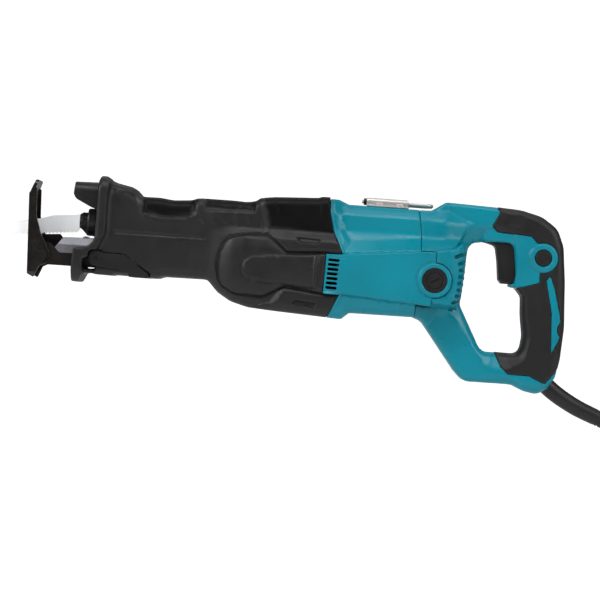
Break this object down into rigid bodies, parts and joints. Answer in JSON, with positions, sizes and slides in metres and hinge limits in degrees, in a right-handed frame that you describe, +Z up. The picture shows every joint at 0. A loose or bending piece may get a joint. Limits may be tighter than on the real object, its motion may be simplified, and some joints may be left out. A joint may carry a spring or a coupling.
{
  "type": "corded reciprocating saw",
  "caption": "Corded reciprocating saw with a rubber-covered nose, D handle with trigger, tilting shoe, twist blade clamp, blade and rafter hook.",
  "frame": {"origin": "on the blade's stroke axis at the floor of the blade socket, level with the nose flange, centred left to right", "axes": "-X forward along the stroke to the blade, +X back to the handle, -Y the tool's left side, +Y its right side, +Z up"},
  "size_m": [0.6325, 0.09, 0.1989],
  "materials": {
    "blade_steel": "bright ground steel",
    "phosphate": "black phosphated steel",
    "bright_steel": "ground steel",
    "black_paint": "glossy black coat",
    "spring_steel": "oiled spring wire",
    "cast_alloy": "cast and blasted",
    "bronze": "sintered bronze",
    "felt": "oiled felt",
    "rubber": "moulded, matt",
    "teal_plastic": "moulded, satin",
    "black_plastic": "moulded, fine texture",
    "white_plastic": "moulded",
    "copper": "enamelled copper",
    "lamination": "stacked sheet",
    "zinc_sheet": "plated sheet steel",
    "carbon": "pressed carbon",
    "cord_jacket": "smooth jacket"
  },
  "bodies": {
    "tool": {"nose_boot": "rubber", "nose_shield": "black_plastic", "gear_case": "cast_alloy", "bearing_plate": "cast_alloy", "case_screws": "bright_steel", "front_bush": "bronze", "rear_bush": "bronze", "plunger_seal": "felt", "crank_bearing": "bright_steel", "crank_foot_bearing": "bronze", "front_bearing": "bright_steel", "rear_bearing": "bright_steel", "bearing_cup": "rubber", "stator_core": "lamination", "field_coils": "copper", "fan_baffle": "black_plastic", "brush_holders": "bronze", "carbon_brushes": "carbon", "brush_caps": "black_plastic", "motor_housing": "teal_plastic", "hook_bracket": "zinc_sheet", "hook_screws": "zinc_sheet", "handle_left": "teal_plastic", "handle_right": "teal_plastic", "grip_left": "rubber", "grip_right": "rubber", "handle_screws": "phosphate", "trigger_switch": "black_plastic", "power_cord": "cord_jacket", "cord_guard": "rubber", "cord_clamp": "white_plastic", "lever_pins": "phosphate", "trigger_spring": "spring_steel"},
    "crank": {"crank_gear": "phosphate", "crank_shaft": "bright_steel", "crank_pin": "bright_steel", "crank_roller": "bright_steel"},
    "armature": {"armature_shaft": "bright_steel", "armature_core": "lamination", "armature_windings": "copper", "commutator": "copper", "cooling_fan": "black_plastic"},
    "ram": {"plunger": "bright_steel", "blade": "blade_steel", "clamp_lock_pin": "bright_steel", "clamp_spring": "spring_steel"},
    "clamp": {"blade_clamp_sleeve": "black_plastic"},
    "stay": {"shoe_stay": "phosphate", "shoe_pin": "phosphate", "shoe_spring": "spring_steel"},
    "shoe": {"shoe": "black_paint"},
    "lever": {"shoe_lever": "black_plastic"},
    "trigger": {"trigger": "black_plastic"},
    "lock": {"lock_button": "black_plastic"},
    "hook": {"rafter_hook": "zinc_sheet", "hook_collar": "black_plastic"}
  },
  "joints": [
    {"name": "crank_spin", "type": "hinge", "parent": "tool", "child": "crank", "pos_m": [0.132, 0, -0.02], "axis": [0, 0, 1], "range_deg": [0, 180]},
    {"name": "armature_spin", "type": "hinge", "parent": "tool", "child": "armature", "pos_m": [0.23, 0, -0.03], "axis": [1, 0, 0], "range_deg": [-900, 0]},
    {"name": "blade_stroke", "type": "slide", "parent": "tool", "child": "ram", "axis": [1, 0, 0], "range_m": [0, 0.032]},
    {"name": "clamp_twist", "type": "hinge", "parent": "ram", "child": "clamp", "pos_m": [0, 0, 0], "axis": [1, 0, 0], "range_deg": [0, 60]},
    {"name": "shoe_slide", "type": "slide", "parent": "tool", "child": "stay", "axis": [-1, 0, 0], "range_m": [0, 0.018]},
    {"name": "shoe_tilt", "type": "hinge", "parent": "stay", "child": "shoe", "pos_m": [-0.0483, 0, -0.0312], "axis": [0, 1, 0], "range_deg": [-14, 14]},
    {"name": "lever_swing", "type": "hinge", "parent": "tool", "child": "lever", "pos_m": [-0.001, 0, -0.031], "axis": [0, 1, 0], "range_deg": [0, 70]},
    {"name": "trigger_pull", "type": "slide", "parent": "tool", "child": "trigger", "axis": [1, 0, 0], "range_m": [0, 0.007]},
    {"name": "lock_press", "type": "slide", "parent": "tool", "child": "lock", "axis": [0, 1, 0], "range_m": [0, 0.003]},
    {"name": "hook_swing", "type": "hinge", "parent": "tool", "child": "hook", "pos_m": [0.24, 0, 0.033], "axis": [1, 0, 0], "range_deg": [0, 180]}
  ],
  "couplings": [
    {"joint": "armature_spin", "follows": "crank_spin", "ratio": -5},
    {"joint": "blade_stroke", "follows": "crank_spin", "m_per_rad": 0.010186}
  ]
}
